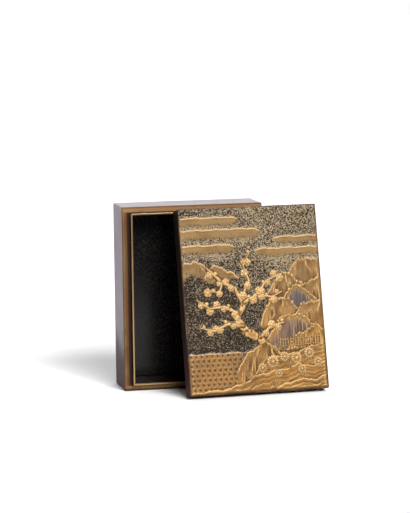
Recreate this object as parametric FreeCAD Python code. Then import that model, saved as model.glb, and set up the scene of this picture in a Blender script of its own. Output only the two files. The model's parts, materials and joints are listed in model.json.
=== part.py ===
import FreeCAD, Part
import math
import os

# Small Japanese writing box in lacquered wood, with its flush lid taken off.
# The body stands on its lower short side with its mouth to the front (-Y),
# and the lid stands on its rim's lower edge and leans back on the mouth.
# Inside lie a loose board, an inkstone and a water dropper.
# Millimetres, +Z up, +X to the right as seen from the front.
# The origin is the middle of the floor patch under the body.

Vector = FreeCAD.Vector

# Outside of the closed box
box_length = 150.0
box_width = 116.0
body_depth = 37.5
lid_depth = 13.5
corner_radius = 1.1
base_edge_radius = 0.9
face_edge_radius = 0.7
arris_radius = 0.4

# Boards of the body and the lid
side_wall = 6.8
end_wall = 5.0
base_thickness = 3.0
lid_board_thickness = 3.6

# Raised liner round the mouth, which the lid fits over, and its metal lip
liner_thickness = 1.5
liner_height = 4.0
liner_corner_radius = 1.0
lip_thickness = 0.6
lip_edge_radius = 0.2
lid_seat_clearance = 0.25

# Loose board on the floor of the body
board_thickness = 4.0
board_edge_radius = 0.5
board_fit = 0.35
loose_gap = 0.3

# Inkstone, let into the loose board on the right
stone_width = 38.0
stone_thickness = 10.5
stone_corner_radius = 2.0
stone_edge_radius = 0.6
stone_rim = 2.8
stone_side_margin = 6.0
land_depth = 0.9
pond_depth = 3.8
pond_length = 15.0
slope_length = 18.0
well_corner_radius = 3.0

# Water dropper, let into the loose board above the inkstone
dropper_width = 30.0
dropper_length = 25.0
dropper_height = 13.0
dropper_corner_radius = 4.0
dropper_cover_height = 4.5
dropper_sheet = 0.9
dropper_crown_radius = 2.0
dropper_foot_radius = 1.6
water_hole_radius = 1.1
air_hole_inset = 6.5

# Strips of the loose board left beyond and between the two fittings
fittings_end_margin = 8.6
fittings_gap = 8.0

# How the lid stands in front of the body
lid_lean_deg = 13.0
lid_turn_deg = 2.8
lid_shift = 42.0
lean_gap = 0.3

# Depths along Y that several pieces share
mouth_y = -body_depth / 2
back_y = body_depth / 2
floor_y = back_y - base_thickness
lip_front_y = mouth_y - liner_height
lip_back_y = lip_front_y + lip_thickness
lid_face_y = -lid_depth
lid_ceiling_y = lid_face_y + lid_board_thickness
loose_back_y = floor_y - loose_gap

# Inside of the liner, which the loose board drops into
inside_width = box_width - 2 * (side_wall + liner_thickness)
inside_length = box_length - 2 * (end_wall + liner_thickness)
inside_low_z = end_wall + liner_thickness

# How far a cutting tool runs past what it cuts
over = 1.0


def slab(width, length, y_front, y_back, corner=0.0, x_mid=0.0, z_low=0.0):
    """Upright board: a rectangle seen from the front, with rounded corners if asked."""
    corner_point = Vector(x_mid - width / 2, y_front, z_low)
    block = Part.makeBox(width, y_back - y_front, length, corner_point)
    if corner > 0:
        depth_edges = [edge for edge in block.Edges if abs(edge.tangentAt(0).y) > 0.99]
        block = block.makeFillet(corner, depth_edges)
    return block


def soften(shape, y_plane, radius):
    """Round every edge that lies in the plane y = y_plane."""
    edges = []
    for edge in shape.Edges:
        box = edge.BoundBox
        if abs(box.YMin - y_plane) < 1e-4 and abs(box.YMax - y_plane) < 1e-4:
            edges.append(edge)
    return shape.makeFillet(radius, edges)


def front_part(shape, y_cut):
    """The part of a shape in front of y = y_cut."""
    box = shape.BoundBox
    tool = Part.makeBox(box.XLength + 2 * over, y_cut - box.YMin + over, box.ZLength + 2 * over,
                        Vector(box.XMin - over, box.YMin - over, box.ZMin - over))
    return shape.common(tool)


def back_part(shape, y_cut):
    """The part of a shape behind y = y_cut."""
    box = shape.BoundBox
    tool = Part.makeBox(box.XLength + 2 * over, box.YMax - y_cut + over, box.ZLength + 2 * over,
                        Vector(box.XMin - over, y_cut, box.ZMin - over))
    return shape.common(tool)


def mitred_sides(frame, width, length, side_thickness, end_thickness, low_z=0.0):
    """Cut a four-sided frame on the diagonals of its corners, as a joiner mitres it."""
    box = frame.BoundBox
    left_x = -width / 2
    right_x = width / 2
    high_z = low_z + length
    run_in = 1.6
    run_out = -0.4

    def on_diagonal(x_corner, z_corner, x_step, z_step, run):
        return (x_corner + x_step * side_thickness * run, z_corner + z_step * end_thickness * run)

    corners = {
        "lower_left": (left_x, low_z, 1, 1),
        "upper_left": (left_x, high_z, 1, -1),
        "upper_right": (right_x, high_z, -1, -1),
        "lower_right": (right_x, low_z, -1, 1),
    }
    ends = {
        "left": ("lower_left", "upper_left"),
        "upper": ("upper_left", "upper_right"),
        "right": ("upper_right", "lower_right"),
        "lower": ("lower_right", "lower_left"),
    }
    pieces = {}
    for side, (first, second) in ends.items():
        outline = [
            on_diagonal(*corners[first], run_out),
            on_diagonal(*corners[second], run_out),
            on_diagonal(*corners[second], run_in),
            on_diagonal(*corners[first], run_in),
        ]
        points = [Vector(x, box.YMin - over, z) for x, z in outline]
        face = Part.Face(Part.makePolygon(points + points[:1]))
        wedge = face.extrude(Vector(0, box.YLength + 2 * over, 0))
        pieces[side] = frame.common(wedge)
    return pieces


def body_boards():
    """Base board and the four mitred walls; the walls' front edges are the mouth's ledge."""
    block = slab(box_width, box_length, mouth_y, back_y, corner_radius)
    block = soften(block, back_y, base_edge_radius)
    block = soften(block, mouth_y, arris_radius)
    cavity = slab(box_width - 2 * side_wall, box_length - 2 * end_wall,
                  mouth_y - over, floor_y, z_low=end_wall)
    walls = mitred_sides(front_part(block, floor_y).cut(cavity),
                         box_width, box_length, side_wall, end_wall)
    return {
        "base_board": back_part(block, floor_y),
        "long_wall_left": walls["left"],
        "long_wall_right": walls["right"],
        "short_wall_upper": walls["upper"],
        "short_wall_lower": walls["lower"],
    }


def mouth_liner():
    """Thin liner boards that stand proud of the ledge, and the metal lip on their front edge."""
    outer_width = box_width - 2 * side_wall
    outer_length = box_length - 2 * end_wall
    frame = slab(outer_width, outer_length, lip_front_y, floor_y, liner_corner_radius,
                 z_low=end_wall)
    inside = slab(inside_width, inside_length, lip_front_y - over, floor_y + over,
                  z_low=inside_low_z)
    frame = frame.cut(inside)
    lip = soften(front_part(frame, lip_back_y), lip_front_y, lip_edge_radius)
    boards = mitred_sides(back_part(frame, lip_back_y), outer_width, outer_length,
                          liner_thickness, liner_thickness, end_wall)
    pieces = {"liner_" + side: board for side, board in boards.items()}
    pieces["mouth_lip"] = lip
    return pieces


def lean_back(shape):
    """Stand a lid piece on the lower edge of its rim and lean it on the lip of the body."""
    lean = math.radians(lid_lean_deg)
    turn = math.radians(lid_turn_deg)
    rim_normal = Vector(-math.sin(turn) * math.cos(lean),
                        math.cos(turn) * math.cos(lean),
                        -math.sin(lean))
    touch = Vector(box_width / 2 - side_wall, lip_front_y, box_length - end_wall)
    along_rim = (touch.x - lid_shift) * rim_normal.x + touch.z * rim_normal.z
    foot = Vector(lid_shift, touch.y + (along_rim - lean_gap) / rim_normal.y, 0)
    placed = shape.copy()
    placed.rotate(Vector(0, 0, 0), Vector(1, 0, 0), -lid_lean_deg)
    placed.rotate(Vector(0, 0, 0), Vector(0, 0, 1), lid_turn_deg)
    placed.translate(foot)
    return placed


def lid_boards():
    """Lid board and its four mitred skirt walls, which slip over the raised liner."""
    block = slab(box_width, box_length, lid_face_y, 0.0, corner_radius)
    block = soften(block, lid_face_y, face_edge_radius)
    block = soften(block, 0.0, arris_radius)
    side_skirt = side_wall - lid_seat_clearance
    end_skirt = end_wall - lid_seat_clearance
    hollow = slab(box_width - 2 * side_skirt, box_length - 2 * end_skirt,
                  lid_ceiling_y, over, z_low=end_skirt)
    skirt = mitred_sides(back_part(block, lid_ceiling_y).cut(hollow),
                         box_width, box_length, side_skirt, end_skirt)
    pieces = {
        "lid_board": front_part(block, lid_ceiling_y),
        "lid_wall_left": skirt["left"],
        "lid_wall_right": skirt["right"],
        "lid_wall_upper": skirt["upper"],
        "lid_wall_lower": skirt["lower"],
    }
    return {name: lean_back(piece) for name, piece in pieces.items()}


# Places of the inkstone and the dropper on the loose board
board_width = inside_width - 2 * board_fit
board_length = inside_length - 2 * board_fit
board_low_z = inside_low_z + board_fit
board_front_y = loose_back_y - board_thickness
stone_mid_x = board_width / 2 - stone_side_margin - stone_width / 2
stone_low_z = board_low_z + fittings_end_margin
stone_front_y = loose_back_y - stone_thickness
dropper_low_z = board_low_z + board_length - fittings_end_margin - dropper_length
stone_length = dropper_low_z - fittings_gap - stone_low_z
dropper_front_y = loose_back_y - dropper_height
dropper_joint_y = dropper_front_y + dropper_cover_height


def loose_board():
    """Board on the floor of the body, cut out for the inkstone and the dropper."""
    board = slab(board_width, board_length, board_front_y, loose_back_y, z_low=board_low_z)
    board = soften(board, board_front_y, board_edge_radius)
    cut_outs = [
        (stone_width, stone_length, stone_corner_radius, stone_low_z),
        (dropper_width, dropper_length, dropper_corner_radius, dropper_low_z),
    ]
    for width, length, corner, low_z in cut_outs:
        hole = slab(width + 2 * loose_gap, length + 2 * loose_gap,
                    board_front_y - over, loose_back_y + over,
                    corner + loose_gap, stone_mid_x, low_z - loose_gap)
        board = board.cut(hole)
    return board


def ink_well():
    """Hollow of the inkstone: a level grinding land that slopes into the ink pond."""
    low_z = stone_low_z + stone_rim
    high_z = stone_low_z + stone_length - stone_rim
    land_y = stone_front_y + land_depth
    pond_y = stone_front_y + pond_depth
    slope_low_z = high_z - pond_length - slope_length
    slope_high_z = high_z - pond_length
    middle = Vector(0, (land_y + pond_y) / 2, (slope_low_z + slope_high_z) / 2)
    drop = pond_depth - land_depth
    bend_radius = (slope_length ** 2 + drop ** 2) / (4 * drop)
    bend_angle = math.asin(slope_length / 2 / bend_radius)
    quarter_z = bend_radius * math.sin(bend_angle / 2)
    quarter_y = bend_radius * (1 - math.cos(bend_angle / 2))
    land_start = Vector(0, land_y, low_z)
    land_end = Vector(0, land_y, slope_low_z)
    pond_start = Vector(0, pond_y, slope_high_z)
    pond_end = Vector(0, pond_y, high_z)
    open_high = Vector(0, stone_front_y - over, high_z)
    open_low = Vector(0, stone_front_y - over, low_z)
    over_brow = Vector(0, land_y + quarter_y, slope_low_z + quarter_z)
    into_pond = Vector(0, pond_y - quarter_y, slope_high_z - quarter_z)
    profile = Part.Wire([
        Part.makeLine(land_start, land_end),
        Part.Arc(land_end, over_brow, middle).toShape(),
        Part.Arc(middle, into_pond, pond_start).toShape(),
        Part.makeLine(pond_start, pond_end),
        Part.makeLine(pond_end, open_high),
        Part.makeLine(open_high, open_low),
        Part.makeLine(open_low, land_start),
    ])
    hollow = Part.Face(profile).extrude(Vector(stone_width, 0, 0))
    hollow.translate(Vector(stone_mid_x - stone_width / 2, 0, 0))
    outline = slab(stone_width - 2 * stone_rim, stone_length - 2 * stone_rim,
                   stone_front_y - 2 * over, stone_front_y + pond_depth + over,
                   well_corner_radius, stone_mid_x, low_z)
    return hollow.common(outline)


def inkstone():
    stone = slab(stone_width, stone_length, stone_front_y, loose_back_y,
                 stone_corner_radius, stone_mid_x, stone_low_z)
    stone = soften(stone, stone_front_y, stone_edge_radius)
    return stone.cut(ink_well())


def water_dropper():
    """Hollow metal dropper: a bowl, and a crowned cover with a pouring and an air hole."""
    outside = slab(dropper_width, dropper_length, dropper_front_y, loose_back_y,
                   dropper_corner_radius, stone_mid_x, dropper_low_z)
    outside = soften(outside, dropper_front_y, dropper_crown_radius)
    outside = soften(outside, loose_back_y, dropper_foot_radius)
    inside = slab(dropper_width - 2 * dropper_sheet, dropper_length - 2 * dropper_sheet,
                  dropper_front_y + dropper_sheet, loose_back_y - dropper_sheet,
                  dropper_corner_radius, stone_mid_x,
                  dropper_low_z + dropper_sheet)
    shell = outside.cut(inside)
    cover = front_part(shell, dropper_joint_y)
    middle_z = dropper_low_z + dropper_length / 2
    holes = [
        (stone_mid_x, middle_z),
        (stone_mid_x - dropper_width / 2 + air_hole_inset,
         dropper_low_z + dropper_length - air_hole_inset),
    ]
    for x, z in holes:
        start = Vector(x, dropper_front_y - over, z)
        drill = Part.makeCylinder(water_hole_radius, dropper_sheet + 2 * over, start,
                                  Vector(0, 1, 0))
        cover = cover.cut(drill)
    return {"dropper_bowl": back_part(shell, dropper_joint_y), "dropper_cover": cover}


def all_pieces():
    pieces = {}
    pieces.update(body_boards())
    pieces.update(mouth_liner())
    pieces.update(lid_boards())
    pieces["loose_board"] = loose_board()
    pieces["inkstone"] = inkstone()
    pieces.update(water_dropper())
    return pieces


os.makedirs("parts", exist_ok=True)
for node, piece in all_pieces().items():
    solids = piece.Solids
    shape = solids[0] if len(solids) == 1 else Part.makeCompound(solids)
    print(node, len(solids), "solid", round(shape.Volume, 1), "mm3", shape.isValid())
    shape.exportStep("parts/" + node + ".step")
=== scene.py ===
"""Looks of a Japanese ink-stone box: lacquered body, liner and lid with raised gold work.

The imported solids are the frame. Lengths of the lid's picture are in millimetres on its face,
from the face's lower left corner: u to the right, v up, and height out of the face.
"""

import json
import math
import random

import bpy
import numpy as np
from mathutils import Matrix, Vector


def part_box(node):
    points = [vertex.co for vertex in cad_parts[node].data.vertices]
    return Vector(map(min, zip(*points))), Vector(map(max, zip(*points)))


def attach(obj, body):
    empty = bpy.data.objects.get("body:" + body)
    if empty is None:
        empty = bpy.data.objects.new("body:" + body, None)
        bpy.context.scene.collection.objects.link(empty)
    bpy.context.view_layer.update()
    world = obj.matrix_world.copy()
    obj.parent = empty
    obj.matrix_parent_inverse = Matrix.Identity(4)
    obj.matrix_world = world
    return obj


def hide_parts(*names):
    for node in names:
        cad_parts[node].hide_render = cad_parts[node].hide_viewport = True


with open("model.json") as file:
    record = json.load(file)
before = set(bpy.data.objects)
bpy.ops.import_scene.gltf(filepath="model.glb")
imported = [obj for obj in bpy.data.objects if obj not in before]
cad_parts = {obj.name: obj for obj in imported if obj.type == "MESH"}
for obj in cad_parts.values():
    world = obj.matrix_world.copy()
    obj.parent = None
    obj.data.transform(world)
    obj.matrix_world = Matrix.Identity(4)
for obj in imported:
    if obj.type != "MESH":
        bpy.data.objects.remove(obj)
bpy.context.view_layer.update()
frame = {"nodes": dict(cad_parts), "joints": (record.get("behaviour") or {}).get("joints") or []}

bl_info = {
    "name": "Japanese ink-stone box",
    "version": (1, 0, 0),
    "blender": (4, 5, 0),
    "location": "3D View > Sidebar > Ink box",
    "description": "Dresses a lacquered ink-stone box and makes the raised gold work of its lid",
    "category": "Add Mesh",
}

MM = 0.001
BODY_NODES = ("base_board", "long_wall_left", "long_wall_right", "short_wall_upper", "short_wall_lower")
LINER_NODES = ("liner_left", "liner_right", "liner_upper", "liner_lower")
LID_WALLS = ("lid_wall_left", "lid_wall_right", "lid_wall_upper", "lid_wall_lower")


def lid_frame():
    """The matrix that puts face millimetres (u, v, height) on the lid, and the face's size."""
    lift = next(j for j in frame["joints"] if j["name"] == "lid_lift")
    out = Vector(lift["axis"]).normalized()
    right = Vector((0, 0, 1)).cross(out).normalized()
    up = out.cross(right)
    points = [v.co for v in frame["nodes"]["lid_board"].data.vertices]
    low = [min(p.dot(a) for p in points) for a in (right, up)]
    high = [max(p.dot(a) for p in points) for a in (right, up)]
    face = max(p.dot(out) for p in points)
    depth = face - min(p.dot(out) for p in points)
    corner = right * low[0] + up * low[1] + out * face
    turn = Matrix((right * MM, up * MM, out * MM)).transposed().to_4x4()
    size = ((high[0] - low[0]) / MM, (high[1] - low[1]) / MM, depth / MM)
    return Matrix.Translation(corner) @ turn, size


LID, (FACE_WIDTH, FACE_HEIGHT, BOARD_DEPTH) = lid_frame()


class StageSettings(bpy.types.PropertyGroup):
    """Camera, floor and light."""

    lens: bpy.props.FloatProperty(name="Lens", description="Focal length", default=160.5, unit="CAMERA")
    place: bpy.props.FloatVectorProperty(
        name="Camera place", description="Where the camera stands", default=(-0.4007, -1.8139, 0.3439),
        subtype="TRANSLATION", unit="LENGTH", precision=4)
    yaw: bpy.props.FloatProperty(
        name="Yaw", description="Turn to the right from the box's depth", default=math.radians(12.891),
        subtype="ANGLE")
    pitch: bpy.props.FloatProperty(
        name="Pitch", description="Tilt down", default=math.radians(7.314), subtype="ANGLE")
    roll: bpy.props.FloatProperty(
        name="Roll", description="Turn about the view", default=math.radians(-0.722), subtype="ANGLE")
    key: bpy.props.FloatProperty(
        name="Key light", description="Strength of the key light", default=5.4, min=0)
    key_spread: bpy.props.FloatProperty(
        name="Key spread", description="Angular size of each key light", default=math.radians(17),
        subtype="ANGLE")
    fill: bpy.props.FloatProperty(
        name="Fill", description="Strength of the room's light", default=1.08, min=0)
    floor_front: bpy.props.FloatProperty(
        name="Floor front", description="Where the pale floor ends before the box", default=-0.47,
        unit="LENGTH")


class LacquerSettings(bpy.types.PropertyGroup):
    """Colours of the lacquer, metal and stone."""

    outer: bpy.props.FloatVectorProperty(
        name="Outer lacquer", description="Brown-black of the walls", default=(0.024, 0.014, 0.014),
        subtype="COLOR")
    lid: bpy.props.FloatVectorProperty(
        name="Lid lacquer", description="Darker brown-black of the lid's sides",
        default=(0.012, 0.008, 0.006), subtype="COLOR")
    worn: bpy.props.FloatVectorProperty(
        name="Worn lacquer", description="Red-brown where the lacquer has thinned",
        default=(0.040, 0.0125, 0.010), subtype="COLOR")
    inner: bpy.props.FloatVectorProperty(
        name="Inner lacquer", description="Black of the inside", default=(0.0035, 0.003, 0.003),
        subtype="COLOR")
    sprinkle: bpy.props.FloatVectorProperty(
        name="Sprinkled gold", description="Gold dust in the black", default=(0.0115, 0.0085, 0.0055),
        subtype="COLOR")
    ledge: bpy.props.FloatVectorProperty(
        name="Gold ledge", description="Gold lacquer on the rims", default=(0.245, 0.158, 0.067),
        subtype="COLOR")
    gilt: bpy.props.FloatVectorProperty(
        name="Gilt lip", description="Pale gilding of the lip", default=(0.42, 0.28, 0.135),
        subtype="COLOR")
    gold: bpy.props.FloatVectorProperty(
        name="Raised gold", description="Gold of the raised work", default=(0.225, 0.108, 0.024),
        subtype="COLOR")
    flake: bpy.props.FloatVectorProperty(
        name="Gold flakes", description="Gold of the lid's flakes", default=(0.235, 0.178, 0.108),
        subtype="COLOR")
    silver: bpy.props.FloatVectorProperty(
        name="Silver", description="Dulled silver of the raised work", default=(0.048, 0.038, 0.046),
        subtype="COLOR")
    stone: bpy.props.FloatVectorProperty(
        name="Slate", description="Colour of the inkstone", default=(0.030, 0.031, 0.036), subtype="COLOR")


class ReliefSettings(bpy.types.PropertyGroup):
    """The carved face of the lid."""

    step: bpy.props.FloatProperty(
        name="Grid step", description="Size of the face's grid in millimetres", default=0.45, min=0.2)
    strength: bpy.props.FloatProperty(
        name="Relief", description="Factor on all heights of the raised work", default=1.0, min=0)
    edge: bpy.props.FloatProperty(
        name="Edge radius", description="Rounding round the face in millimetres", default=0.7)
    corner: bpy.props.FloatProperty(
        name="Corner radius", description="Radius of the lid's corners in millimetres", default=1.1)


class MotifSettings(bpy.types.PropertyGroup):
    """Flowers, waves and the other repeated motifs."""

    blossom: bpy.props.FloatProperty(
        name="Blossom size", description="Radius of a plum blossom in millimetres", default=3.5)
    bloom: bpy.props.FloatProperty(
        name="Chrysanthemum size", description="Radius of a chrysanthemum in millimetres", default=5.4)
    wave_pitch: bpy.props.FloatProperty(
        name="Wave pitch", description="Distance between waves of a row in millimetres", default=4.4)
    wave_row: bpy.props.FloatProperty(
        name="Wave row", description="Distance between rows of waves in millimetres", default=3.8)
    seed: bpy.props.IntProperty(name="Seed", description="Seed of the small turns and sizes", default=7)


class Link:
    """A node's output. Arithmetic on it adds Math nodes."""

    def __init__(self, nodes, socket):
        self.nodes = nodes
        self.socket = socket

    def math(self, operation, first, second):
        return self.nodes.node("ShaderNodeMath", {"operation": operation}, {0: first, 1: second})

    def __add__(self, other):
        return self.math("ADD", self, other)

    def __radd__(self, other):
        return self.math("ADD", other, self)

    def __sub__(self, other):
        return self.math("SUBTRACT", self, other)

    def __rsub__(self, other):
        return self.math("SUBTRACT", other, self)

    def __mul__(self, other):
        return self.math("MULTIPLY", self, other)

    def __rmul__(self, other):
        return self.math("MULTIPLY", other, self)


class Nodes:
    """A node tree, and the nodes that this file fills it with."""

    def __init__(self, tree):
        self.tree = tree
        tree.nodes.clear()

    def node(self, kind, settings=None, sockets=None, out=0):
        """Adds a node: its settings first, then the values or links of its sockets."""
        node = self.tree.nodes.new(kind)
        for key, value in (settings or {}).items():
            setattr(node, key, value)
        for key, value in (sockets or {}).items():
            if isinstance(value, Link):
                self.tree.links.new(value.socket, node.inputs[key])
            elif node.inputs[key].type == "RGBA":
                node.inputs[key].default_value = (*value, 1)
            else:
                node.inputs[key].default_value = value
        return Link(self, node.outputs[out]) if node.outputs else None

    def place(self):
        return self.node("ShaderNodeTexCoord", out="Object")

    def mix(self, factor, first, second):
        sockets = {0: factor, 6: first, 7: second}
        return self.node("ShaderNodeMix", {"data_type": "RGBA"}, sockets, out=2)

    def ease(self, value, low, high, start=0.0, end=1.0):
        """The start below low, the end above high, and smooth between them."""
        sockets = {0: value, 1: low, 2: high, 3: start, 4: end}
        return self.node("ShaderNodeMapRange", {"interpolation_type": "SMOOTHSTEP"}, sockets)

    def noise(self, scale, detail, rough=0.55):
        sockets = {"Vector": self.place(), "Scale": scale, "Detail": detail, "Roughness": rough}
        return self.node("ShaderNodeTexNoise", None, sockets)

    def cells(self, scale):
        """One random value for each grain of a fine gravel of cells."""
        sockets = {"Vector": self.place(), "Scale": scale}
        grains = self.node("ShaderNodeTexVoronoi", None, sockets, out="Color")
        return self.node("ShaderNodeSeparateColor", None, {0: grains})

    def larger(self, first, second):
        return self.node("ShaderNodeMath", {"operation": "MAXIMUM"}, {0: first, 1: second})

    def attribute(self, name):
        return self.node("ShaderNodeAttribute", {"attribute_name": name}, out="Fac")

    def along(self, direction, where=None):
        """How far the point lies along a direction, in metres."""
        sockets = {0: where or self.place(), 1: direction}
        return self.node("ShaderNodeVectorMath", {"operation": "DOT_PRODUCT"}, sockets, out="Value")

    def outside(self, low, high, tall=1.0):
        """How far the point lies outside of a box's outline, seen from the front.

        Distances above and below the box count tall times.
        """
        x = self.along((1, 0, 0))
        z = self.along((0, 0, 1))
        return self.larger(self.larger(low.x - x, x - high.x), self.larger(low.z - z, z - high.z) * tall)

    def bump(self, height, strength, distance):
        sockets = {"Height": height, "Strength": strength, "Distance": distance}
        return self.node("ShaderNodeBump", None, sockets)


class Finish(Nodes):
    """A material and its nodes."""

    def __init__(self, name):
        self.material = bpy.data.materials.new(name)
        self.material.use_nodes = True
        super().__init__(self.material.node_tree)

    def shade(self, sockets):
        shader = self.node("ShaderNodeBsdfPrincipled", None, sockets)
        self.node("ShaderNodeOutputMaterial", None, {"Surface": shader})
        return self.material


# Colours that the finishes mix in, besides those of the settings
BROWN_ARRIS = (0.022, 0.011, 0.007)
# Painted shade at the foot of the body
FOOT_SHADE = (0.020, 0.011, 0.008)
# Painted shadow of the liner on the ledge
LINER_SHADOW = (0.065, 0.030, 0.014)
# Painted shade along the body's outline
OUTLINE_SHADE = (0.060, 0.028, 0.014)
REDDER_LEDGE = (0.215, 0.108, 0.050)
GRAINY_LEDGE = (0.15, 0.080, 0.028)
RUBBED_LEDGE = (0.10, 0.045, 0.022)
LIT_LEDGE = (0.36, 0.20, 0.09)
RUBBED_GILT = (0.24, 0.145, 0.065)
SHADED_GILT = (0.030, 0.018, 0.012)
BROWN_LINER = (0.016, 0.008, 0.005)
STONE_VEIN = (0.062, 0.062, 0.070)
DRY_INK = (0.006, 0.006, 0.007)
BRIGHT_SILVER = (0.60, 0.58, 0.55)
TARNISH = (0.16, 0.125, 0.10)
FLAKE_GROUND = (0.013, 0.010, 0.008)
FINE_FLAKE = (0.10, 0.068, 0.038)
UPPER_GOLD = (0.185, 0.118, 0.052)
CLOUDED_GOLD = (0.115, 0.058, 0.020)
POWDER_GOLD = (0.10, 0.050, 0.018)
# Painted shade in the carving's hollows, and painted highlights on its crests (the pale gold is also the
# blossoms' own colour)
GROOVE_SHADE = (0.055, 0.026, 0.010)
DEEP_GROOVE_SHADE = (0.048, 0.022, 0.008)
PALE_GOLD_AND_HIGHLIGHT = (0.44, 0.285, 0.125)
SILVER_HIGHLIGHT = (0.125, 0.105, 0.10)
BLACK_BORDER = (0.030, 0.018, 0.014)
COPPER_BORDER = (0.150, 0.068, 0.030)
WARM_POWDER = (0.14, 0.068, 0.022)

# Gold of each sort of motif, and the deeper gold of its patches
MOTIF_GOLD = {
    "blossom": (PALE_GOLD_AND_HIGHLIGHT, (0.34, 0.20, 0.080)),
    "chrysanthemum": ((0.50, 0.325, 0.145), (0.40, 0.24, 0.095)),
    "brush": ((0.34, 0.21, 0.085), (0.25, 0.145, 0.052)),
    "wave": ((0.235, 0.150, 0.070), (0.185, 0.110, 0.050)),
}

# The painted shadow beside the liner is so many times wider at the sides than above and below
SIDE_SHADOW_WIDER = 6.0

# Where a finish starts to change and where it has changed, in metres
RIM_GOLD = (-0.00016, -0.00008)
ARRIS = (-0.0010, -0.0004)
POLISHED = (0.045, 0.085)
LIT_HEIGHT = (0.138, 0.146)
# painted shade at the foot
FOOT_HEIGHT = (0.0030, 0.0010)
# painted shade along the outline
OUTLINE_SHADE_REACH = (-0.0014, -0.0004)
# painted shadow beside the liner
LINER_SHADOW_FADE = (0.0072, 0.0034)
LINER_SHADOW_EDGE = (0.0022, 0.0034)
LIP_SHADE = (-0.00085, -0.00115)
INK_DEPTH = (0.0007, 0.0030)
UPPER_FACE = (0.075, 0.165)


def outer_lacquer(name, colour, polish, rim_direction, rim_place, band=False):
    """Brown-black lacquer with a polish that is worn low down, and gold on the rim plane.

    With band, the gold gets painted shade at the body's outline and foot and a painted shadow beside the
    liner.
    """
    colours = bpy.context.scene.ink_box_lacquer
    f = Finish(name)
    cloud = f.noise(26.0, 4.0)
    fine = f.noise(420.0, 3.0)
    height = f.along((0, 0, 1))
    low = 1 - f.ease(height + cloud * 0.06, *POLISHED)
    worn = low * 0.85 + f.ease(cloud, 0.58, 0.75) * 0.25
    base = f.mix(worn, colour, colours.worn)
    forward = f.along(rim_direction) - rim_place
    arris = f.ease(forward, *ARRIS)
    base = f.mix(arris, base, BROWN_ARRIS)
    rim = f.ease(forward, *RIM_GOLD)
    gold = f.mix(f.ease(f.noise(40.0, 3.0), 0.38, 0.60), colours.ledge, REDDER_LEDGE)
    gold = f.mix(f.cells(2600.0) * 0.35, gold, GRAINY_LEDGE)
    gold = f.mix(f.ease(f.noise(85.0, 5.0), 0.53, 0.68) * 0.62, gold, RUBBED_LEDGE)
    gold = f.mix(f.ease(height, *LIT_HEIGHT) * 0.45, gold, LIT_LEDGE)
    if band:
        border = f.outside(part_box("long_wall_left")[0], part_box("long_wall_right")[1])
        # painted shade: the ledge gold darker in a thin band along the body's outline
        gold = f.mix(f.ease(border, *OUTLINE_SHADE_REACH) * 0.6, gold, OUTLINE_SHADE)
        # painted shade: the ledge gold darkest at the foot, where the box meets the floor
        gold = f.mix(f.ease(height, *FOOT_HEIGHT) * 0.85, gold, FOOT_SHADE)
        # painted shadow of the liner: the gold darker beside it, and plain dark lacquer right next to it
        inset = f.outside(*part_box("mouth_lip"), SIDE_SHADOW_WIDER)
        gold = f.mix(f.ease(inset, *LINER_SHADOW_FADE) * 0.75, gold, LINER_SHADOW)
        rim = rim * f.ease(inset, *LINER_SHADOW_EDGE)
    dull = f.ease(f.noise(75.0, 5.0, 0.65), 0.42, 0.64)
    shine = (1 - low * 0.85) * (1 - arris) * (1.10 - dull * 0.24)
    return f.shade({
        "Base Color": f.mix(rim, base, gold),
        "Metallic": rim * 0.5,
        "Roughness": 0.44 + rim * 0.04 + low * 0.08 + fine * 0.06,
        "Specular IOR Level": 0.06,
        "Coat Weight": shine * polish,
        "Coat Roughness": 0.16,
        "Coat IOR": 1.45,
        "Normal": f.bump(cloud * 0.6 + fine * 0.05, 0.10, 0.0006),
    })


def inner_lacquer(name, black, amount, roughness):
    """Black lacquer with gold dust, more of it with a larger amount."""
    f = Finish(name)
    drift = f.noise(60.0, 2.0) * 0.25
    dust = f.ease(f.cells(1150.0) + drift, 1.145 - amount, 1.165 - amount)
    fine = f.ease(f.cells(2300.0) + drift, 1.125 - amount, 1.145 - amount)
    speck = f.larger(dust, fine * 0.6)
    ripple = f.noise(35.0, 3.0)
    return f.shade({
        "Base Color": f.mix(speck, black, bpy.context.scene.ink_box_lacquer.sprinkle),
        "Metallic": speck * 0.4,
        "Roughness": roughness + speck * 0.25,
        "Specular IOR Level": 0.32,
        "Normal": f.bump(ripple + speck * 0.05, 0.08, 0.0006),
    })


def gilt_metal():
    """Pale gilding, rubbed in places, with the inner edge in shade."""
    f = Finish("gilt lip")
    rubbed = f.ease(f.noise(130.0, 5.0), 0.52, 0.70)
    colour = f.mix(rubbed * 0.5, bpy.context.scene.ink_box_lacquer.gilt, RUBBED_GILT)
    inner = f.ease(f.outside(*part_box("mouth_lip")), *LIP_SHADE)
    return f.shade({
        "Base Color": f.mix(inner * 0.85, colour, SHADED_GILT),
        "Metallic": 0.85,
        "Roughness": 0.30 + rubbed * 0.2,
        "Normal": f.bump(f.noise(900.0, 2.0), 0.15, 0.0002),
    })


def slate():
    """Fine-grained stone, dulled by dry ink in the well."""
    f = Finish("slate")
    veins = f.noise(110.0, 6.0, 0.65)
    grain = f.noise(1600.0, 2.0)
    stone = f.mix(veins, bpy.context.scene.ink_box_lacquer.stone, STONE_VEIN)
    ink = f.ease(f.along((0, 1, 0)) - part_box("inkstone")[0].y, *INK_DEPTH)
    return f.shade({
        "Base Color": f.mix(ink * 0.8, stone, DRY_INK),
        "Roughness": 0.58 - ink * 0.22 + veins * 0.1,
        "Normal": f.bump(grain * 0.4 + veins, 0.25, 0.0004),
    })


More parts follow.
